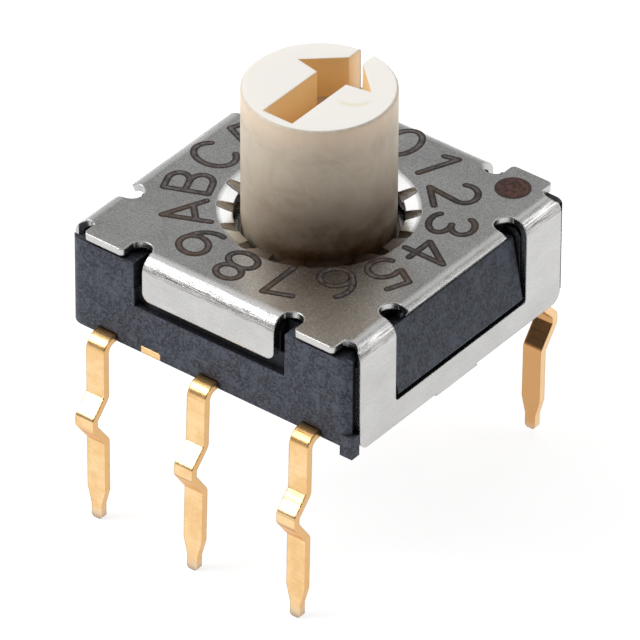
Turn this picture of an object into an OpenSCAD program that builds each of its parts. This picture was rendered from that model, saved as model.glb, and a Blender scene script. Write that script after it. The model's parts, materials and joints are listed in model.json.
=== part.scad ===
// Sixteen position rotary coded switch, 7 mm class, with six leads in two rows.
// Z = 0 is the plane the housing stands on, and the rotor turns about the Z axis.
// The front side is -Y, the framed sides are +X and -X.

/* [Housing] */
// Length of the housing across the two framed sides
housing_x = 7.08; // [6.90:0.02:7.40]
// Width of the housing across the two sides with leads
housing_y = 6.95; // [6.85:0.01:7.20]
// Height of the cover's top face above the seating plane
body_h = 2.52; // [2.30:0.01:2.80]
// Radius of the upright corners
corner_r = 0.33; // [0.20:0.01:0.36]
// Height of the feet under the housing
foot_h = 0.22; // [0.18:0.01:0.26]
// Length of a foot block along X
foot_x = 0.30; // [0.24:0.01:0.36]
// Height of a foot block above the seating plane
foot_block_h = 0.50; // [0.40:0.01:0.60]
// Thickness of the floor
floor_t = 0.42; // [0.40:0.01:0.50]
// Thinnest wall round the cavity
wall_t = 0.47; // [0.40:0.01:0.55]
// Width of the raised seat round the cavity that carries the cover
seat_w = 0.25; // [0.15:0.01:0.30]
// Drop from that seat to the rest of the housing's top
seat_step = 0.07; // [0.04:0.01:0.12]
// Depth of the pockets under the cover's relief notches
notch_pocket_h = 0.60; // [0.30:0.02:0.90]
// Depth of the pocket that takes a side frame
frame_pocket_d = 0.16; // [0.15:0.01:0.20]
// Further depth of the slot round the catch wedge
wedge_slot_d = 0.16; // [0.12:0.01:0.18]
// Depth of the recess that takes a front tab
tab_recess_d = 0.17; // [0.13:0.01:0.20]
// Height of the ledge below a tab, above the seating plane
tab_ledge_z = 1.27; // [1.10:0.01:1.40]
// Break on the top edges under the bends of the cover
edge_break = 0.12; // [0.10:0.01:0.14]
// Height of the catch wedge's toe
wedge_toe_h = 0.04; // [0.02:0.01:0.08]
// Thickness of the catch wedge at its top
wedge_top_t = 0.05; // [0.03:0.01:0.08]

/* [Cover] */
// Thickness of the sheet
sheet_t = 0.15; // [0.12:0.01:0.16]
// Outer radius of the bends
bend_r = 0.35; // [0.30:0.01:0.38]
// How far a frame stands proud of the housing
frame_proud = 0.01; // [0.00:0.01:0.04]
// How far a tab stands proud of the housing
tab_proud = 0.045; // [0.00:0.005:0.06]
// Outer width of a side frame
frame_w = 6.43; // [6.20:0.01:6.50]
// Width of the window in a side frame
window_w = 4.20; // [4.00:0.02:4.40]
// Height of the window's lower edge above the seating plane
window_z = 0.62; // [0.50:0.01:0.70]
// Height of a side frame's lower edge above the seating plane
frame_z = 0.06; // [0.03:0.01:0.10]
// Radius of a side frame's lower corners
frame_r = 0.25; // [0.10:0.01:0.35]
// Radius of the window's lower corners
window_r = 0.12; // [0.05:0.01:0.20]
// Width of the trimmed strip stub under a side frame
stub_w = 1.32; // [1.00:0.02:1.50]
// Sideways offset of that stub
stub_offset = 0.14; // [0.00:0.02:0.30]
// Width of a front tab
tab_w = 3.26; // [3.00:0.02:3.40]
// Height of a tab's lower edge above the seating plane
tab_z = 1.55; // [1.45:0.01:1.70]
// Radius of a tab's lower corners
tab_r = 0.18; // [0.10:0.01:0.25]
// Width of the relief notch beside a tab
tab_notch_w = 0.49; // [0.40:0.01:0.55]
// How far that notch runs past the bend line
tab_notch_in = 0.15; // [0.08:0.01:0.25]
// Width of the relief notch beside a frame leg
leg_notch_w = 0.53; // [0.44:0.01:0.60]
// How far that notch runs past the bend line
leg_notch_in = 0.22; // [0.10:0.01:0.30]
// Distance between the outer ends of the ears along a front edge
ear_span = 6.20; // [6.00:0.02:6.26]
// Radius of the ears' corners
ear_r = 0.10; // [0.05:0.01:0.15]
// Radius of the notch between an ear and a frame leg
corner_notch_r = 0.19; // [0.15:0.01:0.22]
// Bend angle of the lip over a window
lip_angle = 30; // [15:1:45]
// Straight length of that lip past its bend
lip_len = 0.08; // [0.04:0.01:0.12]
// Width of the corrugated collar round the shaft hole
collar_w = 0.32; // [0.24:0.01:0.40]
// Drop of the collar from its rim to the hole
collar_drop = 0.10; // [0.04:0.01:0.12]
// Radius of a groove pressed into the collar
groove_r = 0.16; // [0.12:0.01:0.18]
// Depth of a groove at the hole
groove_depth = 0.10; // [0.07:0.01:0.12]

/* [Rotor] */
// Number of positions
positions = 16; // [8, 10, 16]
// Diameter of the shaft
shaft_d = 3.10; // [2.90:0.02:3.20]
// Height of the shaft's end above the seating plane
shaft_top = 5.41; // [4.50:0.01:6.50]
// Break on the edge of the shaft's end
shaft_break = 0.04; // [0.02:0.01:0.08]
// Radial relief of the shaft at its root, tapering out above the cover
neck_relief = 0.02; // [0.01:0.01:0.04]
// Height above the cover at which that taper ends
neck_gap = 0.06; // [0.04:0.01:0.12]
// Depth of the arrow slot
slot_depth = 0.92; // [0.60:0.02:1.20]
// Width of the arrow's tail
arrow_tail_w = 0.72; // [0.60:0.02:0.90]
// Distance of the tail's end from the axis
arrow_tail_y = 1.32; // [1.10:0.01:1.36]
// Width of the arrow's head
arrow_head_w = 1.82; // [1.50:0.02:2.00]
// Distance of the head's back from the axis
arrow_head_y = 0.43; // [0.30:0.01:0.60]
// Distance of the head's point from the axis
arrow_point_y = 1.15; // [1.00:0.01:1.25]
// How far the barbs lean forward
arrow_barb = 0.10; // [0.00:0.01:0.15]
// Width of the slit from the arrow's point through the rim
slit_w = 0.34; // [0.25:0.01:0.45]
// Radius of the lower journal
journal_r = 0.60; // [0.50:0.01:0.65]
// Depth of the journal's hole in the floor
journal_depth = 0.24; // [0.15:0.01:0.28]
// Radial gap between the rotor's flange and the cavity
flange_gap = 0.13; // [0.08:0.01:0.20]
// Share of the flange's height that the seal ring's cord takes
cord_share = 0.68; // [0.50:0.01:0.75]
// Height of the chamber between the floor and the code disc
contact_h = 0.36; // [0.34:0.01:0.42]
// Thickness of the code disc
disc_t = 0.10; // [0.08:0.01:0.12]
// Radius of the common track on the code disc
common_r = 0.88; // [0.84:0.01:0.92]
// Distance between neighbouring tracks
track_pitch = 0.27; // [0.25:0.01:0.28]
// Radial width of a window in a track
track_w = 0.19; // [0.15:0.01:0.21]
// Thickness of the detent spring
detent_t = 0.10; // [0.08:0.01:0.12]
// Rise of the detent spring's tongues
tongue_rise = 0.17; // [0.12:0.01:0.20]
// Width of a tongue
tongue_w = 0.26; // [0.20:0.01:0.28]
// Length of a tongue
tongue_len = 1.10; // [0.90:0.01:1.20]
// Length of the flat end of a tongue's bump
bump_len = 0.20; // [0.12:0.01:0.26]
// Length of a tongue's root
tongue_root = 0.12; // [0.08:0.01:0.16]

/* [Leads] */
// Spacing of the leads along a row
pitch = 2.54; // [2.40:0.01:2.60]
// Distance between the two rows
row_gap = 7.62; // [7.56:0.01:7.90]
// Width of a lead
lead_w = 0.45; // [0.36:0.01:0.50]
// Thickness of a lead
lead_t = 0.16; // [0.14:0.01:0.20]
// Inner radius of the bend where a lead turns down
lead_bend_r = 0.18; // [0.12:0.01:0.20]
// Length of a lead below the seating plane
lead_len = 4.00; // [3.70:0.01:4.50]
// Outward throw of the kink that grips the board
kink_out = 0.36; // [0.20:0.01:0.45]
// Depth of the kink's start below the seating plane
kink_start_len = 0.98; // [0.60:0.01:1.10]
// Length of the slope that leads out
kink_rise_len = 0.38; // [0.32:0.01:0.50]
// Length of the flat between the slopes
kink_flat_len = 0.20; // [0.18:0.01:0.25]
// Length of the slope that comes back
kink_return_len = 0.49; // [0.40:0.01:0.80]
// Radius of the kink's bends at the middle of the sheet
kink_bend_r = 0.12; // [0.09:0.01:0.14]
// How far the middle lead of the near row leans out at its tip
lead_tip_out = 0.16; // [0.00:0.01:0.25]
// How much higher the kinks and tips of the rear row sit
rear_rise = 0.16; // [0.00:0.01:0.25]
// Width of a lead's tip
tip_w = 0.25; // [0.20:0.01:0.34]
// Break on the corners of a lead's tip
tip_break = 0.05; // [0.02:0.01:0.08]
// Length of the narrow tip
tip_len = 0.33; // [0.20:0.01:0.50]
// Length of the taper above the tip
taper_len = 0.39; // [0.20:0.01:0.50]
// Width of the trimmed strip end beside the first lead
strip_end_w = 0.48; // [0.40:0.01:0.60]
// Distance of that strip end from the middle lead
strip_end_x = 1.47; // [1.30:0.01:1.60]
// Distance of the strip's cross bar from the wall
strip_bar_in = 0.55; // [0.45:0.01:0.60]
// Width of that cross bar
strip_bar_w = 0.22; // [0.15:0.01:0.30]
// Distance from the wall to the place where a lead turns to its pad
elbow_in = 0.62; // [0.50:0.01:0.75]
// Angle of an outer lead's inner pad from the X axis
pad_angle = 50; // [46:1:54]
// Distance of the pads from the cavity wall
pad_in = 0.45; // [0.40:0.01:0.50]
// Radius of a pad
pad_r = 0.29; // [0.28:0.01:0.31]
// Thickness of a contact spring
finger_t = 0.08; // [0.06:0.01:0.09]
// Width of a contact spring
finger_w = 0.30; // [0.22:0.01:0.34]
// Length of a contact spring's foot on its pad
finger_foot = 0.35; // [0.28:0.01:0.40]
// Length over which it rises out of the floor
finger_rise = 0.39; // [0.32:0.01:0.45]
// Length of its turned down tip
finger_tip = 0.12; // [0.08:0.01:0.16]
// Drop of that tip
finger_tip_drop = 0.05; // [0.02:0.01:0.08]
// Angle a contact spring sweeps from its pad to its track
finger_turn = 30; // [26:1:32]

/* [Fits] */
// Gap between the cover and the housing's top
seat_gap = 0.02; // [0.01:0.01:0.03]
// Gap between pieces that sit in each other
fit_gap = 0.01; // [0.005:0.005:0.02]
// Radial gap of a running fit
run_gap = 0.03; // [0.02:0.01:0.04]
// Gap between the seal ring and the walls round it
seal_gap = 0.03; // [0.02:0.01:0.04]
// Gap between the shaft and the cover's hole
shaft_gap = 0.15; // [0.10:0.01:0.18]
// Gap beside a tab in its recess
tab_gap = 0.24; // [0.15:0.01:0.28]
// Gap beside a frame in its pocket
frame_gap = 0.145; // [0.10:0.005:0.18]
// Gap round the catch wedge in the window
wedge_gap = 0.10; // [0.06:0.01:0.15]
// Gap under the catch wedge
catch_gap = 0.12; // [0.05:0.01:0.15]

/* [Hidden] */
$fn = 96;
far = 20;
over = 0.4;

step = 360 / positions;
shaft_r = shaft_d / 2;
hole_r = shaft_r + shaft_gap;
collar_r = hole_r + collar_w;
half_x = housing_x / 2;
half_y = housing_y / 2;
out_x = half_x + frame_proud;
out_y = half_y + tab_proud;
bend_x = out_x - bend_r;
bend_y = out_y - bend_r;
leg_y = frame_w / 2;
lip_y = window_w / 2 - leg_notch_w;
tab_x = tab_w / 2;
notch_x = tab_x + tab_notch_w;
ear_x = ear_span / 2;

under_z = body_h - sheet_t;
top_z = under_z - seat_gap;
rim_z = top_z - seat_step;
floor_z = foot_h + floor_t;
pocket_x = half_x - frame_pocket_d;
slot_x = pocket_x - wedge_slot_d;
recess_y = half_y - tab_recess_d;
cavity_r = min(slot_x, recess_y) - wall_t;

disc_z = floor_z + contact_h;
flange_z = disc_z + disc_t;
groove_sheet_t = sheet_t * 0.8;
valley_z = body_h - collar_drop - groove_depth - groove_sheet_t;
bump_z = valley_z - run_gap;
detent_z = bump_z - tongue_rise - detent_t;
flange_h = detent_z - flange_z;
cord_d = flange_h * cord_share;
flange_r = cavity_r - flange_gap;
cord_r = cord_d / 2;
seal_r = cavity_r - seal_gap - cord_r;
disc_r = flange_r - flange_gap;
detent_out_r = flange_r - flange_gap;
detent_in_r = shaft_r + run_gap * 2;
tongue_r = (hole_r + collar_r) / 2 + run_gap;
peg_r = 0.12;
peg_circle_r = detent_out_r - peg_r * 1.5;
peg_root = 0.04;

lead_z = foot_h + lead_t;
lead_y = row_gap / 2;
lead_in_y = lead_y - lead_t / 2;
lead_out_y = lead_y + lead_t / 2;
elbow_y = half_y - elbow_in;
pad_circle_r = cavity_r - pad_in;

// Each row holds the lead's side, its place along the row, the angle of its
// pad, the track that its contact spring rides on (0 is the common track) and
// its share of the outward lean.
BIT_1 = [-1, -1, 180 + pad_angle, 2, 0];
COMMON_FRONT = [-1, 0, 270, 0, 1];
BIT_4 = [-1, 1, 360 - pad_angle, 3, 0.6];
BIT_2 = [1, 1, pad_angle, 1, -0.4];
COMMON_REAR = [1, 0, 90, 0, 0];
BIT_8 = [1, -1, 180 - pad_angle, 4, 0];
bend_parts = 5;

function polar(r, a) = [r * cos(a), r * sin(a)];
function track_r(k) = common_r + k * track_pitch;
function pad_at(lead) = polar(pad_circle_r, lead[2]);
function touch_at(lead) = polar(track_r(lead[3]), lead[2] + finger_turn);

// A plate standing on the XY plane, cut to a rectangle with round corners
module round_rect(w, d, r) {
    square([w - 2 * r, d], center = true);
    square([w, d - 2 * r], center = true);
    for (sx = [-1, 1], sy = [-1, 1])
        translate([sx * (w / 2 - r), sy * (d / 2 - r)])
            circle(r);
}

// The flat outline of a tab or frame: straight at the top, round below
module apron(w, top, bottom, r) {
    translate([-w / 2, bottom + r])
        square([w, top - bottom - r]);
    translate([-w / 2 + r, bottom])
        square([w - 2 * r, r * 2]);
    for (sx = [-1, 1])
        translate([sx * (w / 2 - r), bottom + r])
            circle(r);
}

// Lays a shape drawn in a side view, with X outward and Y up, along the Y axis
module along_y(w) {
    rotate([90, 0, 0])
        linear_extrude(w, center = true)
            children();
}

// Projects a front view, with X along the side and Y up, along the X axis
module through_x() {
    rotate([90, 0, 90])
        linear_extrude(far, center = true)
            children();
}

// Side view of the sheet bent down through an angle, with a straight after it
module bend_profile(angle, straight) {
    translate([0, -bend_r]) {
        intersection() {
            difference() {
                circle(bend_r);
                circle(bend_r - sheet_t);
            }
            polygon([[0, 0], [0, 2 * bend_r], [2 * bend_r * sin(angle / 2), 2 * bend_r * cos(angle / 2)],
                [2 * bend_r * sin(angle), 2 * bend_r * cos(angle)]]);
        }
        rotate(-angle)
            translate([0, bend_r - sheet_t])
                square([straight, sheet_t]);
    }
}

module frame_pocket() {
    pocket_y = leg_y + frame_gap;
    slot_y = window_w / 2 - 2 * fit_gap;
    translate([pocket_x, -pocket_y, -over])
        cube([far, 2 * pocket_y, far]);
    translate([slot_x, -slot_y, window_z])
        cube([far, 2 * slot_y, far]);
    // Break on the edge under the bend
    translate([pocket_x, 0, rim_z])
        rotate([0, 45, 0])
            cube([edge_break * sqrt(2), 2 * pocket_y, edge_break * sqrt(2)], center = true);
}

// Pockets under the cover's relief notches
module notch_pockets() {
    leg_in_x = bend_x - leg_notch_in - 2 * fit_gap;
    leg_in_y = lip_y - 2 * fit_gap;
    tab_in_x = tab_x + fit_gap;
    tab_in_y = bend_y - tab_notch_in;
    for (sx = [-1, 1], sy = [-1, 1]) {
        translate([sx > 0 ? leg_in_x : -leg_in_x - far, sy > 0 ? leg_in_y : -leg_in_y - leg_notch_w,
            rim_z - notch_pocket_h])
            cube([far, leg_notch_w, far]);
        translate([sx > 0 ? tab_in_x : -tab_in_x - tab_gap, sy > 0 ? tab_in_y : -tab_in_y - far,
            rim_z - notch_pocket_h])
            cube([tab_gap, far, far]);
    }
}

module catch_wedge() {
    toe_x = half_x - fit_gap;
    head_x = slot_x + wedge_top_t;
    low = window_z + catch_gap;
    high = rim_z - catch_gap;
    along_y(window_w - 2 * wedge_gap)
        polygon([[slot_x - over / 2, low], [toe_x, low], [toe_x, low + wedge_toe_h],
            [head_x, high], [slot_x - over / 2, high]]);
}

module tab_recess() {
    w = tab_w + 2 * tab_gap;
    translate([-w / 2, recess_y, tab_ledge_z])
        cube([w, far, far]);
    translate([0, recess_y, rim_z])
        rotate([45, 0, 0])
            cube([w, edge_break * sqrt(2), edge_break * sqrt(2)], center = true);
}

module foot() {
    // Square corner block, kept clear of the frame's leg
    block_y = half_y - leg_y - 2 * fit_gap;
    translate([half_x - foot_x, -half_y, 0])
        cube([foot_x, block_y, foot_block_h]);
    translate([half_x - foot_x, -half_y, 0])
        cube([foot_x - frame_pocket_d, foot_x * 1.2, foot_h + over / 4]);
}

// Flat shape of a lead's strip in the floor, from the wall to its pad
module strip_shape(lead, grow) {
    side = lead[0];
    x = lead[1] * pitch;
    pad = pad_at(lead);
    elbow = [x, side * elbow_y];
    run = pad - elbow;
    w = lead_w + 2 * grow;
    translate([x - w / 2, side > 0 ? elbow_y : -(half_y + over)])
        square([w, half_y + over - elbow_y]);
    translate(elbow)
        circle(w / 2);
    translate(elbow)
        rotate(atan2(run[1], run[0]))
            translate([0, -w / 2])
                square([norm(run), w]);
    translate(pad)
        circle(pad_r + grow);
}

// Trimmed end of the strip that joined the leads before they were cut apart
module strip_end_shape(side, grow) {
    rotate(side > 0 ? 180 : 0) {
        translate([-strip_end_x - strip_end_w / 2 - grow, -half_y])
            square([strip_end_w + 2 * grow, strip_bar_in + strip_bar_w + grow]);
        translate([-pitch, -half_y + strip_bar_in - grow])
            square([pitch - strip_end_x, strip_bar_w + 2 * grow]);
    }
}

module finger_window(lead) {
    pad = pad_at(lead);
    run = touch_at(lead) - pad;
    w = finger_w + 8 * fit_gap;
    start = finger_foot * 0.6 + 6 * fit_gap;
    translate([pad[0], pad[1], lead_z])
        rotate(atan2(run[1], run[0]))
            translate([-start, -w / 2, 0])
                cube([start + finger_foot * 0.4 + finger_rise, w, far]);
}

module housing() {
    color([0.20, 0.21, 0.24])
    union() {
        difference() {
            union() {
                translate([0, 0, foot_h])
                    linear_extrude(rim_z - foot_h)
                        round_rect(housing_x, housing_y, corner_r);
                translate([0, 0, rim_z - over])
                    cylinder(h = top_z - rim_z + over, r = cavity_r + seat_w);
            }
            for (a = [0, 180])
                rotate(a) {
                    frame_pocket();
                    tab_recess();
                }
            notch_pockets();
            translate([0, 0, floor_z])
                cylinder(h = far, r = cavity_r);
            translate([0, 0, floor_z - journal_depth])
                cylinder(h = far, r = journal_r + run_gap);
            translate([0, 0, -over])
                linear_extrude(lead_z + over + fit_gap) {
                    for (lead = [BIT_1, COMMON_FRONT, BIT_4, BIT_2, COMMON_REAR, BIT_8])
                        strip_shape(lead, fit_gap);
                    for (side = [-1, 1])
                        strip_end_shape(side, fit_gap);
                }
            for (lead = [BIT_1, COMMON_FRONT, BIT_4, BIT_2, COMMON_REAR, BIT_8])
                finger_window(lead);
        }
        for (a = [0, 180])
            rotate(a) {
                catch_wedge();
                foot();
            }
    }
}

module plate_outline() {
    difference() {
        union() {
            square([2 * bend_x, 2 * bend_y], center = true);
            // Ears along the front and rear edges
            for (sx = [-1, 1], sy = [-1, 1])
                translate([sx * (notch_x + ear_x) / 2, sy * (out_y + bend_y - over) / 2])
                    round_rect(ear_x - notch_x, out_y - bend_y + over, ear_r);
        }
        // Notches beside the tabs
        for (sx = [-1, 1], sy = [-1, 1]) {
            x = sx * (tab_x + tab_notch_w / 2);
            y = bend_y - tab_notch_in + tab_notch_w / 2;
            translate([x, sy * y])
                circle(tab_notch_w / 2);
            translate([x, sy * (y + over)])
                square([tab_notch_w, 2 * over], center = true);
        }
        // Notches beside the frame legs
        for (sx = [-1, 1], sy = [-1, 1]) {
            x = bend_x - leg_notch_in + leg_notch_w / 2;
            y = sy * (lip_y + leg_notch_w / 2);
            translate([sx * x, y])
                circle(leg_notch_w / 2);
            translate([sx * (x + over), y])
                square([2 * over, leg_notch_w], center = true);
        }
    }
}

module side_frame() {
    intersection() {
        translate([bend_x, 0, body_h])
            along_y(frame_w)
                bend_profile(90, body_h);
        through_x()
            difference() {
                apron(frame_w, body_h + over, frame_z, frame_r);
                apron(window_w, body_h + 2 * over, window_z, window_r);
            }
    }
    // Trimmed stub of the carrier strip
    translate([out_x - sheet_t, -stub_offset - stub_w / 2, 0])
        cube([sheet_t, stub_w, frame_z + sheet_t]);
    translate([bend_x, 0, body_h])
        along_y(2 * lip_y)
            bend_profile(lip_angle, lip_len);
}

module front_tab() {
    intersection() {
        translate([bend_y, 0, body_h])
            along_y(tab_w)
                bend_profile(90, body_h - tab_z);
        through_x()
            apron(tab_w, body_h + over, tab_z, tab_r);
    }
}

// Sheet round the hole, dished towards the shaft and pressed into radial grooves
module collar() {
    rim_r = collar_r + over / 4;
    slope = [0, body_h - collar_drop];
    difference() {
        union() {
            rotate_extrude()
                polygon([[hole_r, slope[1]], [collar_r, body_h], [rim_r, body_h],
                    [rim_r, under_z], [collar_r, under_z], [hole_r, slope[1] - sheet_t]]);
            intersection() {
                for (i = [0 : positions - 1])
                    rotate((i + 0.5) * step)
                        groove(groove_r + groove_sheet_t);
                rotate_extrude()
                    polygon([[hole_r, slope[1] - sheet_t / 2], [collar_r, body_h - sheet_t / 2],
                        [collar_r, body_h - 5 * sheet_t], [hole_r, body_h - 5 * sheet_t]]);
            }
        }
        for (i = [0 : positions - 1])
            rotate((i + 0.5) * step)
                groove(groove_r);
    }
}

// One groove: a round bar that leaves the sheet at the collar's rim and is
// deepest at the hole
module groove(r) {
    in_z = body_h - collar_drop - groove_depth + groove_r;
    out_z = body_h + groove_r;
    fall = (out_z - in_z) / (collar_r - hole_r);
    lean = atan(fall);
    len = collar_r - hole_r + over;
    translate([collar_r + over / 2, 0, out_z + fall * over / 2])
        rotate([0, -90 - lean, 0])
            cylinder(h = len / cos(lean), r = r, $fn = 48);
}

module cover() {
    color([0.74, 0.74, 0.73])
    difference() {
        union() {
            translate([0, 0, under_z])
                linear_extrude(sheet_t)
                    difference() {
                        plate_outline();
                        circle(collar_r);
                    }
            collar();
            for (a = [0, 180])
                rotate(a)
                    side_frame();
            for (a = [90, 270])
                rotate(a)
                    front_tab();
        }
        translate([0, 0, under_z - over])
            cylinder(h = far, r = hole_r);
        // Round notches between the ears and the frame legs
        for (sx = [-1, 1], sy = [-1, 1]) {
            x = sx * (ear_x + corner_notch_r);
            y = sy * (leg_y + corner_notch_r * 0.375);
            translate([x, y, under_z - bend_r])
                cylinder(h = far, r = corner_notch_r);
        }
    }
}

module arrow_shape() {
    tail = arrow_tail_w / 2;
    head = arrow_head_w / 2;
    slit = slit_w / 2;
    translate([-tail, -arrow_tail_y])
        square([arrow_tail_w, arrow_tail_y + arrow_head_y + arrow_barb]);
    polygon([[-tail, arrow_head_y - arrow_barb / 2], [-head, arrow_head_y + arrow_barb / 2],
        [-slit, arrow_point_y], [slit, arrow_point_y],
        [head, arrow_head_y + arrow_barb / 2], [tail, arrow_head_y - arrow_barb / 2]]);
    translate([-slit, arrow_head_y])
        square([slit_w, shaft_r]);
}

module rotor() {
    groove_h = cord_d + 2 * seal_gap;
    groove_in_r = seal_r - cord_r - seal_gap;
    end_z = floor_z - journal_depth + run_gap;
    neck_r = shaft_r - neck_relief;
    neck_z = body_h + neck_gap;
    groove_z = flange_z + (flange_h - groove_h) / 2;
    color([0.93, 0.91, 0.86])
    difference() {
        union() {
            rotate_extrude()
                polygon([[0, end_z], [journal_r, end_z], [journal_r, flange_z], [flange_r, flange_z],
                    [flange_r, groove_z], [groove_in_r, groove_z], [groove_in_r, groove_z + groove_h],
                    [flange_r, groove_z + groove_h], [flange_r, detent_z], [neck_r, detent_z],
                    [shaft_r, neck_z], [shaft_r, shaft_top - shaft_break],
                    [shaft_r - shaft_break, shaft_top], [0, shaft_top]]);
            // Pegs that turn the detent spring and the code disc
            for (a = [45, 225], z = [disc_z, detent_z - peg_root])
                rotate(a)
                    translate([peg_circle_r, 0, z])
                        cylinder(h = disc_t + peg_root, r = peg_r);
        }
        translate([0, 0, shaft_top - slot_depth])
            linear_extrude(far)
                arrow_shape();
    }
}

module tongue_side() {
    // Side view of a tongue: it rises from the ring and ends in a rounded bump
    z0 = detent_z;
    z1 = bump_z - detent_t;
    s = tongue_len / 2;
    nose = detent_t / 2;
    polygon([[-s, z0], [-s + tongue_root, z0], [s - nose - bump_len, z1], [s - nose, z1],
        [s, z1 - nose], [s, z1 + nose], [s - nose, z1 + detent_t], [s - nose - bump_len, z1 + detent_t],
        [-s + tongue_root - nose / 2, z0 + detent_t], [-s, z0 + detent_t]]);
}

module detent_spring() {
    slot_w = tongue_w + 4 * run_gap;
    color([0.70, 0.71, 0.72]) {
        difference() {
            translate([0, 0, detent_z])
                cylinder(h = detent_t, r = detent_out_r);
            translate([0, 0, detent_z - over])
                cylinder(h = far, r = detent_in_r);
            for (a = [0, 180])
                rotate(a)
                    translate([tongue_r, 0, detent_z]) {
                        translate([-slot_w / 2, -tongue_len / 2 + tongue_root / 2, -over])
                            cube([slot_w, tongue_len, far]);
                    }
            for (a = [45, 225])
                rotate(a)
                    translate([peg_circle_r, 0, detent_z - over])
                        cylinder(h = far, r = peg_r + fit_gap);
        }
        for (a = [0, 180])
            rotate(a)
                translate([tongue_r, 0, 0])
                    rotate(90)
                        along_y(tongue_w)
                            tongue_side();
    }
}

module seal_ring() {
    color([0.12, 0.12, 0.13])
    translate([0, 0, flange_z + flange_h / 2])
        rotate_extrude()
            translate([seal_r, 0])
                circle(cord_r, $fn = 48);
}

module code_disc() {
    color([0.93, 0.76, 0.45])
    translate([0, 0, disc_z])
    difference() {
        cylinder(h = disc_t, r = disc_r);
        translate([0, 0, -over])
            cylinder(h = far, r = journal_r + fit_gap);
        for (a = [45, 225])
            rotate(a)
                translate([peg_circle_r, 0, -over])
                    cylinder(h = far, r = peg_r + fit_gap);
        // Track k is open where bit k of the position is zero
        for (bit = [[0, BIT_1], [1, BIT_2], [2, BIT_4], [3, BIT_8]]) {
            run = pow(2, bit[0]);
            lead = bit[1];
            r = track_r(lead[3]);
            for (p = [0 : 2 * run : positions - 1])
                rotate(lead[2] + finger_turn + (p - 0.5) * step)
                    translate([0, 0, -over])
                        rotate_extrude(angle = min(run, positions - p) * step)
                            translate([r - track_w / 2, 0])
                                square([track_w, 2 * over]);
        }
    }
}

// Points round a bend at b on the way from a to c, with the run's direction there
function bend_points(a, b, c, r) =
    let (
        from = atan2(b[1] - a[1], b[0] - a[0]),
        turn = atan2(c[1] - b[1], c[0] - b[0]) - from,
        cut = r * tan(abs(turn) / 2),
        start = b - cut * [cos(from), sin(from)],
        side = sign(turn),
        centre = start + side * r * [-sin(from), cos(from)]
    )
    [for (i = [0 : bend_parts])
        let (now = from + turn * i / bend_parts)
        [centre + side * r * [sin(now), -cos(now)], now]];

// Middle line of a lead below its shoulder, from top to tip
function lead_run(lean, rise) =
    let (
        k0 = rise - kink_start_len,
        k1 = k0 - kink_rise_len,
        k2 = k1 - kink_flat_len,
        k3 = k2 - kink_return_len,
        slant = lean / lead_len,
        p = [[lead_y, foot_h], [lead_y - slant * k0, k0], [lead_y + kink_out - slant * k1, k1],
            [lead_y + kink_out - slant * k2, k2], [lead_y - slant * k3, k3],
            [lead_y + lean, rise - lead_len - over]]
    )
    concat(
        [[[lead_y, foot_h - lead_bend_r], -90]],
        [for (k = [1 : 4]) each bend_points(p[k - 1], p[k], p[k + 1], kink_bend_r)],
        [[p[5], atan2(p[5][1] - p[4][1], p[5][0] - p[4][0])]]
    );

function beside(run, d) = [for (q = run) q[0] + d * [-sin(q[1]), cos(q[1])]];

function reversed(v) = [for (i = [len(v) - 1 : -1 : 0]) v[i]];

// Side view of a lead outside the housing: X outward, Y up
module lead_side(lean, rise) {
    y0 = lead_in_y - lead_bend_r;
    run = lead_run(lean, rise);
    translate([half_y - over, foot_h])
        square([y0 - half_y + over, lead_t]);
    translate([y0, foot_h - lead_bend_r])
        intersection() {
            difference() {
                circle(lead_bend_r + lead_t);
                circle(lead_bend_r);
            }
            square(lead_bend_r + lead_t);
        }
    polygon(concat(beside(run, lead_t / 2), reversed(beside(run, -lead_t / 2))));
}

// Front view of a lead, with the taper and the narrow tip
module lead_front(end) {
    w = lead_w / 2;
    t = tip_w / 2;
    point = tip_break;
    polygon([[-w, body_h], [-w, end + tip_len + taper_len], [-t, end + tip_len],
        [-t, end + point], [-t + point, end], [t - point, end], [t, end + point],
        [t, end + tip_len], [w, end + tip_len + taper_len], [w, body_h]]);
}

module lead_solid(lead) {
    rise = lead[0] > 0 ? rear_rise : 0;
    union() {
        translate([lead[1] * pitch, 0, 0])
            rotate(lead[0] > 0 ? 90 : -90)
                intersection() {
                    along_y(lead_w)
                        lead_side(lead_tip_out * lead[4], rise);
                    through_x()
                        lead_front(rise - lead_len);
                }
        translate([0, 0, foot_h])
            linear_extrude(lead_t)
                intersection() {
                    strip_shape(lead, 0);
                    square([far, housing_y], center = true);
                }
    }
}

module gold_lead(lead) {
    color([0.95, 0.76, 0.42])
        lead_solid(lead);
}

// The two leads that keep a trimmed end of the carrier strip beside them
module gold_lead_with_strip(lead) {
    color([0.95, 0.76, 0.42])
    union() {
        lead_solid(lead);
        translate([0, 0, foot_h])
            linear_extrude(lead_t)
                strip_end_shape(lead[0], 0);
    }
}

module contact_finger(lead) {
    pad = pad_at(lead);
    run = touch_at(lead) - pad;
    reach = norm(run);
    touch_z = disc_z - fit_gap - finger_t;
    bridge_z = floor_z + run_gap * 2;
    back = finger_foot * 0.6;
    front = finger_foot * 0.4;
    rise_end = front + finger_rise;
    color([0.90, 0.72, 0.40])
    translate([pad[0], pad[1], 0])
        rotate(atan2(run[1], run[0]))
            along_y(finger_w)
                polygon([[-back, lead_z], [front, lead_z], [rise_end, bridge_z], [reach, touch_z],
                    [reach + finger_tip, touch_z - finger_tip_drop],
                    [reach + finger_tip, touch_z - finger_tip_drop + finger_t],
                    [reach, touch_z + finger_t], [rise_end - finger_t / 2, bridge_z + finger_t],
                    [front - finger_t / 2, lead_z + finger_t], [-back, lead_z + finger_t]]);
}

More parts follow.
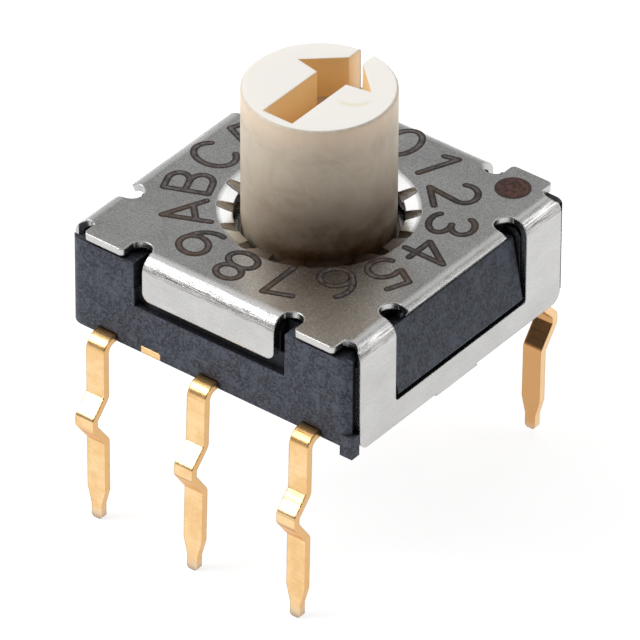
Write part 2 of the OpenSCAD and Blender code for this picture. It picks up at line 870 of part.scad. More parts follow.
module lead_bit_1() { gold_lead_with_strip(BIT_1); }
module lead_common_front() { gold_lead(COMMON_FRONT); }
module lead_bit_4() { gold_lead(BIT_4); }
module lead_bit_2() { gold_lead_with_strip(BIT_2); }
module lead_common_rear() { gold_lead(COMMON_REAR); }
module lead_bit_8() { gold_lead(BIT_8); }
module contact_bit_1() { contact_finger(BIT_1); }
module contact_common_front() { contact_finger(COMMON_FRONT); }
module contact_bit_4() { contact_finger(BIT_4); }
module contact_bit_2() { contact_finger(BIT_2); }
module contact_common_rear() { contact_finger(COMMON_REAR); }
module contact_bit_8() { contact_finger(BIT_8); }

housing();
cover();
rotor();
detent_spring();
seal_ring();
code_disc();
lead_bit_1();
lead_common_front();
lead_bit_4();
lead_bit_2();
lead_common_rear();
lead_bit_8();
contact_bit_1();
contact_common_front();
contact_bit_4();
contact_bit_2();
contact_common_rear();
contact_bit_8();
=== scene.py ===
"""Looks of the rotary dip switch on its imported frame.

Sizes are in millimetres, and MM turns them into metres.
"""
import json
import math

import bmesh
import bpy
from mathutils import Matrix, Vector


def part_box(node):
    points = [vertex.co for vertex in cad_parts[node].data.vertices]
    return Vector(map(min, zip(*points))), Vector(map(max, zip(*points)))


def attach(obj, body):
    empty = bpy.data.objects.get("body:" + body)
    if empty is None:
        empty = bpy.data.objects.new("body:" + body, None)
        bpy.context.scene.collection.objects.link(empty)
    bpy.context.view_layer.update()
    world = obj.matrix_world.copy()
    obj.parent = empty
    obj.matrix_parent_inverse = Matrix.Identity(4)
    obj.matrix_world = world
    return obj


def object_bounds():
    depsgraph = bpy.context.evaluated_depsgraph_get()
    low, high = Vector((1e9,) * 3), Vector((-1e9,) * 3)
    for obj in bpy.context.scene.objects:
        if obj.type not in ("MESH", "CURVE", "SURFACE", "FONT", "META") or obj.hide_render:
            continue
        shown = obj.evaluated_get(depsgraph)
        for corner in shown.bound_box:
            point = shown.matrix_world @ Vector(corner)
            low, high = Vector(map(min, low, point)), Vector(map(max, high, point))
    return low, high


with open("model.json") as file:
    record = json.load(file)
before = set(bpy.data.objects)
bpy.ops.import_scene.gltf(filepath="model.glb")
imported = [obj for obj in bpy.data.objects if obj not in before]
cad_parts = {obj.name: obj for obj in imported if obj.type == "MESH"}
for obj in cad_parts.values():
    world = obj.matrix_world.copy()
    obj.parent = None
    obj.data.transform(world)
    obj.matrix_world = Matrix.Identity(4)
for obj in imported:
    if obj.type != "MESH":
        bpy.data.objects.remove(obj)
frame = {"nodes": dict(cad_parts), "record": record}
CAD_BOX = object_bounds()
MM = 0.001

COVER_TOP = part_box("cover")[1].z / MM
SHAFT_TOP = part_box("rotor")[1].z / MM
LEAD_TIP = CAD_BOX[0][2] / MM
SHAFT_R = next(mount["dims"]["r_mm"] for mount in frame["record"]["mounts"] if mount["name"] == "shaft")
SLOT_FLOOR = SHAFT_TOP - 0.92
HOLE_R = SHAFT_R + 0.15
# The collar's painted highlight and painted shade reach out to this radius
COLLAR_PAINT_R = HOLE_R + 0.55
# A faint ring on the shaft's end, and the side of it towards the camera, where it is painted as a highlight
GATE_CENTRE = (0.70, 0.205, 0.0)
GATE_R = 0.35
GATE_SIDE = (0.614, -0.789)
# Direction of the shaft's side that gets the most painted shade
SHADED_SIDE = (0.797, -0.603)
DOT = (2.587, 2.895)
DOT_R = 0.37
DOT_CORE_R = 0.325
MARK_CENTRE = Vector((-0.06, 0.12))
MARK_R = 2.67
MARK_H = 0.92
MARK_WIDEN = 1.15
MARK_STROKE = 0.15
MARK_CORE_STROKE = 0.0675
# How far the marks reach into the cover and stand above it
MARK_SINK = 0.002
MARK_RISE = 0.002
MARK_CORE_RISE = 0.0045
MARK_STEP = 0.00025
DOT_CORE_RISE = 0.0035


# Node helpers

class Nodes:
    """A small wrapper that makes and joins the nodes of one material."""

    def __init__(self, name):
        self.mat = bpy.data.materials.new(name)
        self.mat.use_nodes = True
        self.tree = self.mat.node_tree
        self.tree.nodes.clear()
        self.out = self.tree.nodes.new("ShaderNodeOutputMaterial")
        self.shader = self.tree.nodes.new("ShaderNodeBsdfPrincipled")
        self.tree.links.new(self.shader.outputs[0], self.out.inputs[0])
        coords = self.tree.nodes.new("ShaderNodeTexCoord")
        scale = self.tree.nodes.new("ShaderNodeVectorMath")
        scale.operation = "SCALE"
        self.tree.links.new(coords.outputs["Object"], scale.inputs[0])
        scale.inputs["Scale"].default_value = 1 / MM
        self.mm = scale.outputs[0]
        self.geometry = self.tree.nodes.new("ShaderNodeNewGeometry")

    def link(self, value, socket):
        if isinstance(value, (int, float)):
            socket.default_value = value
        elif isinstance(value, (tuple, list)):
            size = len(socket.default_value)
            socket.default_value = tuple(value) + (1.0,) * (size - len(value))
        else:
            self.tree.links.new(value, socket)

    def math(self, op, a, b=0.0, clamp=False):
        n = self.tree.nodes.new("ShaderNodeMath")
        n.operation = op
        n.use_clamp = clamp
        self.link(a, n.inputs[0])
        self.link(b, n.inputs[1])
        return n.outputs[0]

    def times(self, a, b, clamp=False):
        return self.math("MULTIPLY", a, b, clamp=clamp)

    def plus(self, a, b):
        return self.math("ADD", a, b)

    def inverse(self, a, clamp=False):
        return self.math("SUBTRACT", 1.0, a, clamp=clamp)

    def size(self, a):
        return self.math("ABSOLUTE", a)

    def length(self, x, y):
        return self.math("SQRT", self.plus(self.times(x, x), self.times(y, y)))

    def ramp(self, value, low, high, out_low=0.0, out_high=1.0):
        n = self.tree.nodes.new("ShaderNodeMapRange")
        n.interpolation_type = "SMOOTHSTEP"
        ends = {"From Min": low, "From Max": high, "To Min": out_low, "To Max": out_high}
        self.link(value, n.inputs["Value"])
        for key, end in ends.items():
            self.link(end, n.inputs[key])
        return n.outputs[0]

    def minus(self, vector, place):
        n = self.tree.nodes.new("ShaderNodeVectorMath")
        n.operation = "SUBTRACT"
        self.link(vector, n.inputs[0])
        self.link(place, n.inputs[1])
        return n.outputs[0]

    def stretched(self, sx, sy, sz, source=None):
        n = self.tree.nodes.new("ShaderNodeVectorMath")
        n.operation = "MULTIPLY"
        self.link(source or self.mm, n.inputs[0])
        self.link((sx, sy, sz), n.inputs[1])
        return n.outputs[0]

    def noise(self, scale, detail=3.0, rough=0.55, distortion=0.0, source=None):
        n = self.tree.nodes.new("ShaderNodeTexNoise")
        self.link(source or self.mm, n.inputs["Vector"])
        n.inputs["Scale"].default_value = scale
        n.inputs["Detail"].default_value = detail
        n.inputs["Roughness"].default_value = rough
        n.inputs["Distortion"].default_value = distortion
        return n.outputs["Fac"]

    def cells(self, scale):
        n = self.tree.nodes.new("ShaderNodeTexVoronoi")
        self.link(self.mm, n.inputs["Vector"])
        n.inputs["Scale"].default_value = scale
        return n.outputs["Distance"]

    def crevice(self, reach_mm, low=0.25, high=0.95):
        """1 on open faces, towards 0 in corners and gaps narrower than the reach; the materials use it to
        paint shade there.
        """
        n = self.tree.nodes.new("ShaderNodeAmbientOcclusion")
        n.samples = 6
        n.inputs["Distance"].default_value = reach_mm * MM
        return self.ramp(n.outputs["AO"], low, high)

    def mix(self, fac, a, b):
        n = self.tree.nodes.new("ShaderNodeMix")
        n.data_type = "RGBA"
        self.link(fac, n.inputs[0])
        self.link(a, n.inputs[6])
        self.link(b, n.inputs[7])
        return n.outputs[2]

    def split(self, vector=None):
        n = self.tree.nodes.new("ShaderNodeSeparateXYZ")
        self.link(vector or self.mm, n.inputs[0])
        return n.outputs

    def normal_split(self):
        return self.split(self.geometry.outputs["True Normal"])

    def set(self, **values):
        for key, value in values.items():
            self.link(value, self.shader.inputs[key.replace("_", " ")])

    def bump(self, height, depth_mm, strength=1.0, edge_mm=0.0):
        n = self.tree.nodes.new("ShaderNodeBump")
        n.inputs["Strength"].default_value = strength
        n.inputs["Distance"].default_value = depth_mm * MM
        self.link(height, n.inputs["Height"])
        if edge_mm:
            bevel = self.tree.nodes.new("ShaderNodeBevel")
            bevel.samples = 6
            bevel.inputs["Radius"].default_value = edge_mm * MM
            self.tree.links.new(bevel.outputs[0], n.inputs["Normal"])
        self.tree.links.new(n.outputs[0], self.shader.inputs["Normal"])


def steel():
    m = Nodes("cover_steel_satin")
    cloud = m.noise(1.1, 3.0)
    grain = m.noise(20.0, 4.0, 0.7)
    fine = m.noise(40.0, 2.0, 0.6)
    nz = m.normal_split()[2]
    level = m.ramp(nz, 0.80, 0.97)
    upright = m.ramp(m.size(nz), 0.05, 0.30, 1.0, 0.0)
    bent = m.inverse(m.plus(level, upright), clamp=True)
    # Stretch lines run level along the bends and fade on the straight sides
    streak = m.noise(4.0, 4.0, 0.7, source=m.stretched(0.35, 0.35, 9.0))
    lines_show = m.plus(m.times(bent, 0.95), m.times(upright, 0.12))
    lines = m.times(m.ramp(streak, 0.44, 0.62), lines_show)
    tone = m.ramp(m.plus(m.times(cloud, 0.5), m.times(grain, 0.5)), 0.30, 0.70)
    colour = m.mix(tone, (0.510, 0.505, 0.500), (0.620, 0.616, 0.610))
    colour = m.mix(lines, colour, (0.27, 0.26, 0.25))
    # The pressed collar is painted near white on its flat ridge tops as a painted highlight, and darker on
    # its flanks as painted shade
    x, y, z = m.split()
    radius = m.length(x, y)
    within = m.ramp(radius, COLLAR_PAINT_R - 0.05, COLLAR_PAINT_R + 0.05, 1.0, 0.0)
    collar = m.times(within, m.ramp(z, COVER_TOP - 0.03, COVER_TOP - 0.006, 1.0, 0.0))
    collar_painted_light = m.mix(m.ramp(nz, 0.84, 0.97), (0.42, 0.39, 0.37), (0.90, 0.90, 0.89))
    colour = m.mix(collar, colour, collar_painted_light)
    # Painted shade darkens the hole's cut wall, in the gap beside the shaft
    wall = m.ramp(m.size(nz), 0.2, 0.6, 1.0, 0.0)
    bore = m.times(m.ramp(radius, HOLE_R + 0.10, HOLE_R + 0.14, 1.0, 0.0), wall)
    colour = m.mix(bore, colour, (0.045, 0.024, 0.013))
    # Painted shade darkens corners and narrow gaps
    gap = m.crevice(0.10, 0.10, 0.42)
    colour = m.mix(gap, (0.035, 0.022, 0.018), colour)
    rough = m.plus(m.ramp(grain, 0.3, 0.7, 0.19, 0.27), m.times(cloud, 0.04))
    rough = m.times(rough, m.inverse(m.times(collar, 0.50)))
    m.set(Base_Color=colour, Metallic=1.0, Roughness=rough)
    flat = m.inverse(m.times(bent, 0.35))
    height = m.times(m.plus(grain, m.times(fine, 0.5)), flat)
    height = m.plus(height, m.times(lines, -1.0))
    m.bump(height, 0.004, 0.6, edge_mm=0.045)
    return m.mat


def bare_spring_steel():
    m = Nodes("spring_steel_bright")
    grain = m.noise(10.0, 3.0, 0.6, source=m.stretched(0.3, 3.0, 3.0))
    m.set(Base_Color=m.mix(grain, (0.52, 0.52, 0.52), (0.68, 0.67, 0.65)), Metallic=1.0,
          Roughness=m.ramp(grain, 0.3, 0.7, 0.22, 0.36))
    m.bump(grain, 0.002, 0.5)
    return m.mat


def housing_plastic():
    m = Nodes("housing_moulded_plastic")
    fine = m.noise(15.0, 5.0, 0.75)
    coarse = m.noise(3.2, 4.0, 0.65)
    brushed = m.noise(5.0, 4.0, 0.7, source=m.stretched(2.2, 2.2, 0.5))
    pits = m.cells(8.0)
    colour = m.mix(m.ramp(fine, 0.40, 0.62), (0.010, 0.012, 0.019), (0.082, 0.093, 0.126))
    colour = m.mix(m.ramp(coarse, 0.45, 0.66, 0.0, 0.55), colour, (0.096, 0.109, 0.144))
    colour = m.mix(m.ramp(brushed, 0.50, 0.66, 0.0, 0.55), colour, (0.020, 0.022, 0.030))
    colour = m.mix(m.ramp(pits, 0.02, 0.16, 0.6, 0.0), colour, (0.010, 0.010, 0.013))
    # Painted shade: corners, recesses and gaps go near black
    open_face = m.crevice(0.42, 0.30, 0.92)
    colour = m.mix(open_face, (0.0035, 0.003, 0.0035), colour)
    m.set(Base_Color=colour, Roughness=m.ramp(fine, 0.3, 0.7, 0.50, 0.68), Specular_IOR_Level=0.32)
    height = m.plus(fine, m.times(m.ramp(pits, 0.0, 0.22), 0.7))
    m.bump(height, 0.018, 0.6, edge_mm=0.035)
    return m.mat


def rotor_plastic():
    m = Nodes("rotor_ivory_plastic")
    x, y, z = m.split()
    nz = m.normal_split()[2]
    flow = m.noise(1.1, 4.0, 0.6, 1.4)
    fine = m.noise(9.0, 3.0, 0.6)
    scuff = m.noise(2.4, 5.0, 0.7, 2.5)
    colour = m.mix(m.ramp(flow, 0.35, 0.70), (0.61, 0.530, 0.425), (0.53, 0.445, 0.338))
    radius = m.length(x, y)
    upright = m.ramp(m.size(nz), 0.35, 0.75, 1.0, 0.0)
    # The top is painted paler and cooler than the sides: a painted highlight from the light above
    top = m.times(m.ramp(nz, 0.6, 0.9), m.ramp(z, SHAFT_TOP - 0.10, SHAFT_TOP - 0.03))
    colour = m.mix(top, colour, (0.94, 0.905, 0.850))
    inside = m.times(m.ramp(radius, SHAFT_R - 0.06, SHAFT_R - 0.01, 1.0, 0.0), upright)
    slot_wall = m.times(inside, m.ramp(z, SLOT_FLOOR - 0.02, SLOT_FLOOR + 0.02))
    # The slot walls are amber, darker towards the slot floor as painted shade and paler towards the shaft's
    # edge
    amber = m.mix(m.ramp(z, SLOT_FLOOR, SHAFT_TOP, 0.0, 1.0), (0.72, 0.485, 0.225), (0.82, 0.625, 0.350))
    amber = m.mix(m.ramp(radius, 1.05, 1.45), amber, (0.86, 0.72, 0.56))
    colour = m.mix(slot_wall, colour, amber)
    # Painted glow: the slot walls emit warm light, standing in for light that soaks through the plastic
    glow = m.mix(slot_wall, (0.0, 0.0, 0.0), (0.105, 0.062, 0.024))
    # The gate mark is part of a faint ring: a real mark, painted pale only on its arc towards the camera as
    # a painted highlight
    gx, gy, _ = m.split(m.minus(m.stretched(1.0, 1.0, 0.0), GATE_CENTRE))
    ring = m.ramp(m.size(m.math("SUBTRACT", m.length(gx, gy), GATE_R)), 0.02, 0.09, 1.0, 0.0)
    near = m.plus(m.times(gx, GATE_SIDE[0]), m.times(gy, GATE_SIDE[1]))
    gate = m.times(m.times(ring, m.ramp(near, 0.16, 0.30)), m.times(top, 0.7))
    colour = m.mix(gate, colour, (0.84, 0.780, 0.600))
    side = m.times(upright, m.inverse(inside, clamp=True))
    colour = m.mix(m.times(m.ramp(scuff, 0.50, 0.74, 0.0, 0.35), side), colour, (0.47, 0.41, 0.34))
    # The upper part of the side is painted paler and warmer: painted light from above
    rim = m.times(m.ramp(z, SHAFT_TOP - 0.75, SHAFT_TOP - 0.10, 0.0, 0.65), side)
    colour = m.mix(rim, colour, (0.86, 0.690, 0.520))
    # Painted shade: the side grows darker and browner towards the cover
    low_side_shade = m.ramp(z, COVER_TOP - 0.1, COVER_TOP + 2.2, 0.98, 0.0)
    low_side_shade = m.times(low_side_shade, m.ramp(m.noise(1.7, 3.0, 0.6), 0.25, 0.75, 0.85, 1.08))
    # The painted shade is strongest on one side, and the opposite side stays paler
    toward_shaded_side = m.plus(m.times(x, SHADED_SIDE[0]), m.times(y, SHADED_SIDE[1]))
    low_side_shade = m.times(low_side_shade, m.ramp(toward_shaded_side, -0.25 * SHAFT_R, 0.95 * SHAFT_R, 0.18, 1.0))
    colour = m.mix(m.times(low_side_shade, side, clamp=True), colour, (0.078, 0.034, 0.008))
    m.set(Base_Color=colour, Roughness=m.ramp(fine, 0.3, 0.7, 0.38, 0.50), Specular_IOR_Level=0.25,
          Subsurface_Weight=0.22, Emission_Color=glow, Emission_Strength=1.0)
    m.shader.inputs["Subsurface Radius"].default_value = (1.0, 0.55, 0.3)
    m.shader.inputs["Subsurface Scale"].default_value = 0.35 * MM
    m.bump(m.plus(fine, m.times(flow, 2.0)), 0.006, 0.5, edge_mm=0.04)
    return m.mat


def gold():
    m = Nodes("lead_gold_plate")
    _, y, z = m.split()
    nx, _, nz = m.normal_split()
    cloud = m.noise(2.2, 3.0, 0.6)
    streak = m.noise(6.0, 3.0, 0.6, source=m.stretched(2.5, 2.5, 0.5))
    across = m.noise(7.0, 3.0, 0.6, source=m.stretched(0.3, 0.3, 4.0))
    colour = m.mix(m.ramp(cloud, 0.35, 0.7), (0.91, 0.640, 0.345), (0.82, 0.520, 0.235))
    colour = m.mix(m.ramp(across, 0.50, 0.72, 0.0, 0.35), colour, (0.80, 0.46, 0.18))
    # The rear leads are painted darker: painted shade
    colour = m.mix(m.ramp(y, -1.0, 1.0, 0.0, 0.85), colour, (0.58, 0.300, 0.112))
    # Sheared side faces get a tone of their own, darker on the front leads and paler on the rear ones as
    # painted light and shade
    sheared = m.ramp(m.size(nx), 0.55, 0.85)
    edge = m.mix(m.ramp(y, -1.0, 1.0), (0.70, 0.400, 0.155), (0.97, 0.700, 0.410))
    colour = m.mix(m.times(sheared, 0.70), colour, edge)
    # The cut tips show the base metal
    colour = m.mix(m.ramp(z, LEAD_TIP, LEAD_TIP + 0.40, 0.55, 0.0), colour, (0.74, 0.660, 0.550))
    # The undersides of the bends are dull and painted brown: a painted reflection of the dark below them
    under = m.ramp(nz, -0.55, -0.12, 1.0, 0.0)
    colour = m.mix(m.times(under, 0.75), colour, (0.80, 0.420, 0.135))
    # Tool marks cross the bends
    tool = m.ramp(m.noise(4.0, 2.0, 0.5, source=m.stretched(0.10, 0.10, 4.0)), 0.55, 0.60)
    tilt = m.times(m.ramp(m.size(nz), 0.12, 0.3), m.ramp(m.size(nx), 0.3, 0.6, 1.0, 0.0))
    # The upper bends are tinted brownish orange: a painted highlight colour
    upper_bend_highlight = m.times(m.times(tilt, m.ramp(z, -0.7, -0.4)), 0.6)
    colour = m.mix(upper_bend_highlight, colour, (0.78, 0.450, 0.160))
    colour = m.mix(m.times(m.times(tool, tilt), 0.60), colour, (0.34, 0.17, 0.06))
    # Painted shade darkens the folds and gaps
    colour = m.mix(m.crevice(0.30, 0.20, 0.88), (0.11, 0.040, 0.010), colour)
    m.set(Base_Color=colour, Metallic=1.0,
          Roughness=m.plus(m.ramp(streak, 0.3, 0.7, 0.17, 0.26),
                           m.plus(m.times(sheared, 0.10), m.times(under, 0.25))))
    m.bump(m.plus(m.plus(streak, cloud), m.times(tool, -0.6)), 0.003, 0.25, edge_mm=0.055)
    return m.mat


def rubber():
    m = Nodes("seal_rubber_black")
    fine = m.noise(14.0, 3.0, 0.6)
    m.set(Base_Color=m.mix(fine, (0.012, 0.012, 0.012), (0.035, 0.034, 0.033)),
          Roughness=m.ramp(fine, 0.3, 0.7, 0.5, 0.7))
    m.bump(fine, 0.006, 0.5)
    return m.mat


def laser_mark(name, dark, light, warm):
    m = Nodes(name)
    burn = m.noise(8.0, 4.0, 0.7)
    patch = m.noise(1.3, 2.0, 0.5)
    colour = m.mix(m.ramp(burn, 0.35, 0.66), dark, light)
    colour = m.mix(m.ramp(patch, 0.48, 0.66, 0.0, 0.55), colour, warm)
    m.set(Base_Color=colour, Roughness=m.ramp(burn, 0.3, 0.7, 0.42, 0.62), Metallic=0.4)
    m.bump(burn, 0.006, 0.6)
    return m.mat


def dot_core():
    """The index dot is burnt in rings that show as a faint swirl."""
    m = Nodes("dot_burnt_core")
    rings = m.tree.nodes.new("ShaderNodeTexWave")
    rings.wave_type = "RINGS"
    rings.rings_direction = "Z"
    m.link(m.minus(m.mm, (*DOT, COVER_TOP)), rings.inputs["Vector"])
    for key, value in (("Scale", 1.8), ("Distortion", 13.0), ("Detail", 4.0), ("Detail Scale", 2.0)):
        rings.inputs[key].default_value = value
    burn = m.noise(6.0, 4.0, 0.7, 1.5)
    both = m.plus(m.times(rings.outputs["Fac"], 0.12), m.times(burn, 0.88))
    m.set(Base_Color=m.mix(m.ramp(both, 0.36, 0.66), (0.030, 0.013, 0.011), (0.135, 0.055, 0.036)),
          Roughness=m.ramp(burn, 0.3, 0.7, 0.40, 0.60), Metallic=0.4)
    m.bump(both, 0.008, 0.6)
    return m.mat


def pale_floor():
    m = Nodes("floor_pale")
    tone = m.noise(0.004, 2.0)
    m.set(Base_Color=m.mix(tone, (0.34, 0.34, 0.34), (0.36, 0.36, 0.36)),
          Roughness=0.9, Specular_IOR_Level=0.1,
          Emission_Color=(1.0, 1.0, 1.0), Emission_Strength=0.815)
    return m.mat


# Marks on the cover

def arc(cx, cy, rx, ry, a0, a1, steps=14):
    """Points of an elliptical arc, angles in degrees, counter-clockwise from a0 to a1."""
    return [(cx + rx * math.cos(math.radians(a0 + (a1 - a0) * i / steps)),
             cy + ry * math.sin(math.radians(a0 + (a1 - a0) * i / steps))) for i in range(steps + 1)]


# Strokes of each mark in a box one unit high, centred on x = 0
GLYPHS = [
    [arc(0, 0.5, 0.30, 0.5, 0, 360, 32)],
    [[(-0.20, 0.80), (0.02, 1.0), (0.02, 0.0)]],
    [arc(0, 0.70, 0.29, 0.30, 165, -38, 16) + [(-0.30, 0.0), (0.30, 0.0)]],
    [arc(-0.02, 0.745, 0.27, 0.255, 155, -90, 16), arc(-0.02, 0.25, 0.30, 0.25, 90, -160, 18)],
    [[(0.12, 0.0), (0.12, 1.0), (-0.30, 0.28), (0.32, 0.28)]],
    [[(0.26, 1.0), (-0.20, 1.0), (-0.26, 0.55)] + arc(0.0, 0.31, 0.30, 0.31, 128, -150, 20)],
    [arc(0.0, 0.31, 0.30, 0.31, 0, 360, 28), arc(0.12, 0.46, 0.42, 0.54, 98, 190, 14)],
    [[(-0.28, 1.0), (0.28, 1.0), (-0.08, 0.0)]],
    [arc(0, 0.75, 0.25, 0.25, 0, 360, 24), arc(0, 0.25, 0.30, 0.26, 0, 360, 28)],
    [arc(0.0, 0.69, 0.30, 0.31, 0, 360, 28), arc(-0.12, 0.54, 0.42, 0.54, -82, 10, 14)],
    [[(-0.34, 0.0), (0.0, 1.0), (0.34, 0.0)], [(-0.24, 0.30), (0.24, 0.30)]],
    [[(-0.27, 0.0), (-0.27, 1.0), (0.02, 1.0)] + arc(0.02, 0.76, 0.24, 0.24, 90, -90, 12) + [(-0.27, 0.52)],
     [(-0.27, 0.0), (0.02, 0.0)] + arc(0.02, 0.26, 0.28, 0.26, -90, 90, 12)],
    [arc(0.03, 0.5, 0.34, 0.5, 42, 318, 26)],
    [[(-0.27, 0.0), (-0.27, 1.0), (-0.02, 1.0)] + arc(-0.02, 0.5, 0.32, 0.5, 90, -90, 18) + [(-0.27, 0.0)]],
    [[(0.27, 1.0), (-0.25, 1.0), (-0.25, 0.0), (0.27, 0.0)], [(-0.25, 0.52), (0.20, 0.52)]],
    [[(0.27, 1.0), (-0.25, 1.0), (-0.25, 0.0)], [(-0.25, 0.50), (0.20, 0.50)]],
]


def add_prism(bm, points, low, high):
    """A closed flat prism over a ring of points."""
    bottom = [bm.verts.new((x, y, low)) for x, y in points]
    top = [bm.verts.new((x, y, high)) for x, y in points]
    bm.faces.new(top)
    bm.faces.new(bottom[::-1])
    for i in range(len(points)):
        j = (i + 1) % len(points)
        bm.faces.new((bottom[i], bottom[j], top[j], top[i]))


def disc(cx, cy, r, steps=48):
    return arc(cx, cy, r, r, 0, 360, steps)[:-1]


def cap(end, side, half, steps=6):
    """Points of a round end, between the strip's two sides."""
    start = math.atan2(side.y - end.y, side.x - end.x)
    turns = (start + math.pi * q / steps for q in range(1, steps))
    return [end + half * Vector((math.cos(turn), math.sin(turn))) for turn in turns]


def runs_of(points, sharpest=50):
    """Cut a line at its sharp corners, so that each run bends gently."""
    runs, run = [], [points[0]]
    for before, here, after in zip(points, points[1:], points[2:]):
        run.append(here)
        coming = Vector((here[0] - before[0], here[1] - before[1]))
        going = Vector((after[0] - here[0], after[1] - here[1]))
        turn = coming.angle_signed(going)
        if abs(math.degrees(turn)) > sharpest:
            runs.append(run)
            run = [here]
    return runs + [run + [points[-1]]]


def add_stroke(bm, points, width, low, high):
    """One flat strip along a gentle line, with round ends unless it closes on itself."""
    half = width / 2
    path = [Vector(p) for p in points]
    closed = (path[0] - path[-1]).length < 1e-4
    if closed:
        path = path[:-1]
    count = len(path)
    left, right = [], []
    for k, here in enumerate(path):
        before = path[k - 1] if k or closed else None
        after = path[(k + 1) % count] if k < count - 1 or closed else None
        along = ((after or here) - (before or here)).normalized()
        side = Vector((-along.y, along.x)) * half
        left.append(here + side)
        right.append(here - side)
    if not closed:
        outline = right + cap(path[-1], right[-1], half) + left[::-1] + cap(path[0], left[0], half)
        add_prism(bm, [tuple(v) for v in outline], low, high)
        return
    low_l, low_r, high_l, high_r = (
        [bm.verts.new((v.x, v.y, z)) for v in line] for z in (low, high) for line in (left, right))
    for k in range(count):
        n = (k + 1) % count
        bm.faces.new((high_r[k], high_r[n], high_l[n], high_l[k]))
        bm.faces.new((low_l[k], low_l[n], low_r[n], low_r[k]))
        bm.faces.new((high_l[k], high_l[n], low_l[n], low_l[k]))
        bm.faces.new((low_r[k], low_r[n], high_r[n], high_r[k]))


def new_object(name, bm, material, body):
    mesh = bpy.data.meshes.new(name)
    bmesh.ops.scale(bm, vec=(MM, MM, MM), verts=bm.verts)
    bm.to_mesh(mesh)
    bm.free()
    mesh.materials.append(material)
    obj = bpy.data.objects.new(name, mesh)
    bpy.context.scene.collection.objects.link(obj)
    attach(obj, body)
    return obj


def dial_marks(name, width, high, material):
    bm = bmesh.new()
    for k, strokes in enumerate(GLYPHS):
        phi = math.radians(90 - 360 / len(GLYPHS) * k)
        up = Vector((math.cos(phi), math.sin(phi)))
        right = Vector((math.sin(phi), -math.cos(phi)))
        # Runs that cross lie a hair apart in height, so that no two faces share a plane
        for step, stroke in enumerate(run for line in strokes for run in runs_of(line)):
            placed = [MARK_CENTRE + up * (MARK_R + (y - 0.5) * MARK_H) + right * (x * MARK_H * MARK_WIDEN)
                      for x, y in stroke]
            add_stroke(bm, placed, width, COVER_TOP - MARK_SINK, high + step * MARK_STEP)
    return new_object(name, bm, material, "switch_body")


def index_dot(name, radius, high, material):
    bm = bmesh.new()
    add_prism(bm, disc(*DOT, radius), COVER_TOP - MARK_SINK, high)
    return new_object(name, bm, material, "switch_body")


# Looks of each node, and the marks

MATERIALS = {
    "housing": housing_plastic(),
    "cover": steel(),
    "rotor": rotor_plastic(),
    "detent_spring": bare_spring_steel(),
    "seal_ring": rubber(),
}
GOLD = gold()
for node_name, obj in frame["nodes"].items():
    obj.data.materials.clear()
    obj.data.materials.append(MATERIALS.get(node_name, GOLD))

dial_marks("dial_marks", MARK_STROKE, COVER_TOP + MARK_RISE,
           laser_mark("mark_burnt_edge", dark=(0.016, 0.012, 0.012),
                      light=(0.050, 0.040, 0.037), warm=(0.058, 0.032, 0.018)))
dial_marks("dial_marks_core", MARK_CORE_STROKE, COVER_TOP + MARK_CORE_RISE,
           laser_mark("mark_burnt_core", dark=(0.048, 0.040, 0.039),
                      light=(0.155, 0.136, 0.130), warm=(0.130, 0.082, 0.050)))
index_dot("index_dot_rim", DOT_R, COVER_TOP + MARK_RISE,
          laser_mark("dot_burnt_edge", dark=(0.040, 0.022, 0.018),
                     light=(0.075, 0.040, 0.030), warm=(0.085, 0.038, 0.024)))
index_dot("index_dot", DOT_CORE_R, COVER_TOP + DOT_CORE_RISE, dot_core())

# Floor, light and camera

FLOOR_HALF_M = 3.0
corners = [(sx * FLOOR_HALF_M, sy * FLOOR_HALF_M, LEAD_TIP * MM)
           for sx, sy in ((-1, -1), (1, -1), (1, 1), (-1, 1))]
floor_mesh = bpy.data.meshes.new("floor")
floor_mesh.from_pydata(corners, [], [(0, 1, 2, 3)])
floor_mesh.materials.append(pale_floor())
floor = bpy.data.objects.new("floor", floor_mesh)
bpy.context.scene.collection.objects.link(floor)

# Direction, where the lobe starts and is full (as cosines), and what it adds to or takes from the light
LOBES = (
    ("dim", (-0.497, 0.638, 0.588), 0.930, 0.985, 0.94),
    ("dim", (0.76, -0.62, 0.24), 0.10, 0.75, 0.96),
    ("add", (-0.238, 0.839, 0.487), 0.930, 0.990, 0.90),
    ("add", (-0.756, 0.437, 0.487), 0.930, 0.990, 0.90),
    ("add", (-0.20, 0.05, 1.0), 0.70, 0.93, 0.66),
)

SURROUND_LEVEL = 0.58
SOFTBOX_AWAY_M = 0.6
SOFTBOX_SIZE_M = 0.35


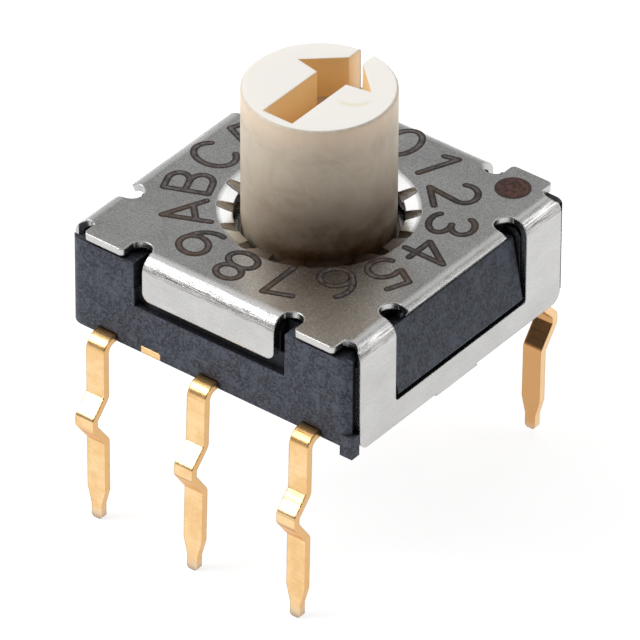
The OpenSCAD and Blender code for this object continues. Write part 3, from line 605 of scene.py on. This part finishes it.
def world_light():
    """Studio surround: bright overhead and at the sides, dim behind the camera and low at the back."""
    world = bpy.data.worlds.new("studio")
    world.use_nodes = True
    tree = world.node_tree
    tree.nodes.clear()
    out = tree.nodes.new("ShaderNodeOutputWorld")
    background = tree.nodes.new("ShaderNodeBackground")
    coords = tree.nodes.new("ShaderNodeTexCoord")
    level = tree.nodes.new("ShaderNodeValue")
    level.outputs[0].default_value = SURROUND_LEVEL
    light = level.outputs[0]
    for kind, direction, start, full, amount in LOBES:
        dot = tree.nodes.new("ShaderNodeVectorMath")
        dot.operation = "DOT_PRODUCT"
        dot.inputs[1].default_value = Vector(direction).normalized()
        tree.links.new(coords.outputs["Generated"], dot.inputs[0])
        ramp = tree.nodes.new("ShaderNodeMapRange")
        ramp.interpolation_type = "SMOOTHSTEP"
        ramp.inputs["From Min"].default_value = start
        ramp.inputs["From Max"].default_value = full
        adds = kind == "add"
        ramp.inputs["To Min"].default_value = 0.0 if adds else 1.0
        ramp.inputs["To Max"].default_value = amount if adds else 1.0 - amount
        tree.links.new(dot.outputs["Value"], ramp.inputs["Value"])
        joined = tree.nodes.new("ShaderNodeMath")
        joined.operation = "ADD" if adds else "MULTIPLY"
        tree.links.new(light, joined.inputs[0])
        tree.links.new(ramp.outputs[0], joined.inputs[1])
        light = joined.outputs[0]
    tree.links.new(light, background.inputs["Strength"])
    tree.links.new(background.outputs[0], out.inputs[0])
    bpy.context.scene.world = world


def softbox(name, direction, watts):
    data = bpy.data.lights.new(name, "AREA")
    data.shape = "SQUARE"
    data.size = SOFTBOX_SIZE_M
    data.energy = watts
    obj = bpy.data.objects.new(name, data)
    spot = Vector(direction).normalized() * SOFTBOX_AWAY_M
    obj.location = spot
    obj.rotation_mode = "QUATERNION"
    obj.rotation_quaternion = spot.to_track_quat("Z", "Y")
    bpy.context.scene.collection.objects.link(obj)


world_light()
softbox("softbox_left", (-0.75, -0.55, 0.75), 2.3)
softbox("softbox_right", (0.70, 0.75, 0.55), 0.6)

# The camera solved from the photograph: azimuth, elevation and roll in degrees, focal length in pixels,
# distance and aim in millimetres
AZ, EL, ROLL = (math.radians(v) for v in (37.871, 36.034, 0.287))
BACK = Vector((math.sin(AZ) * math.cos(EL), -math.cos(AZ) * math.cos(EL), math.sin(EL)))
RIGHT = Vector((math.cos(AZ), math.sin(AZ), 0))
UP = BACK.cross(RIGHT)
FRAME_PX = 640
FOCAL_PX = 10184.5
SENSOR = 36
CAMERA_AWAY = 201.655
AIM_RIGHT = 0.031
AIM_UP = -0.209

camera_data = bpy.data.cameras.new("photo_camera")
camera_data.sensor_width = SENSOR
camera_data.lens = FOCAL_PX * SENSOR / FRAME_PX
camera_data.clip_start = 0.01
camera_data.clip_end = 20
camera = bpy.data.objects.new("photo_camera", camera_data)
right = RIGHT * math.cos(ROLL) + UP * math.sin(ROLL)
up = -RIGHT * math.sin(ROLL) + UP * math.cos(ROLL)
place = (RIGHT * AIM_RIGHT + Vector((0, 0, AIM_UP)) + BACK * CAMERA_AWAY) * MM
camera.matrix_world = Matrix.Translation(place) @ Matrix((right, up, BACK)).transposed().to_4x4()
bpy.context.scene.collection.objects.link(camera)
bpy.context.scene.camera = camera
bpy.context.scene.view_settings.view_transform = "Standard"
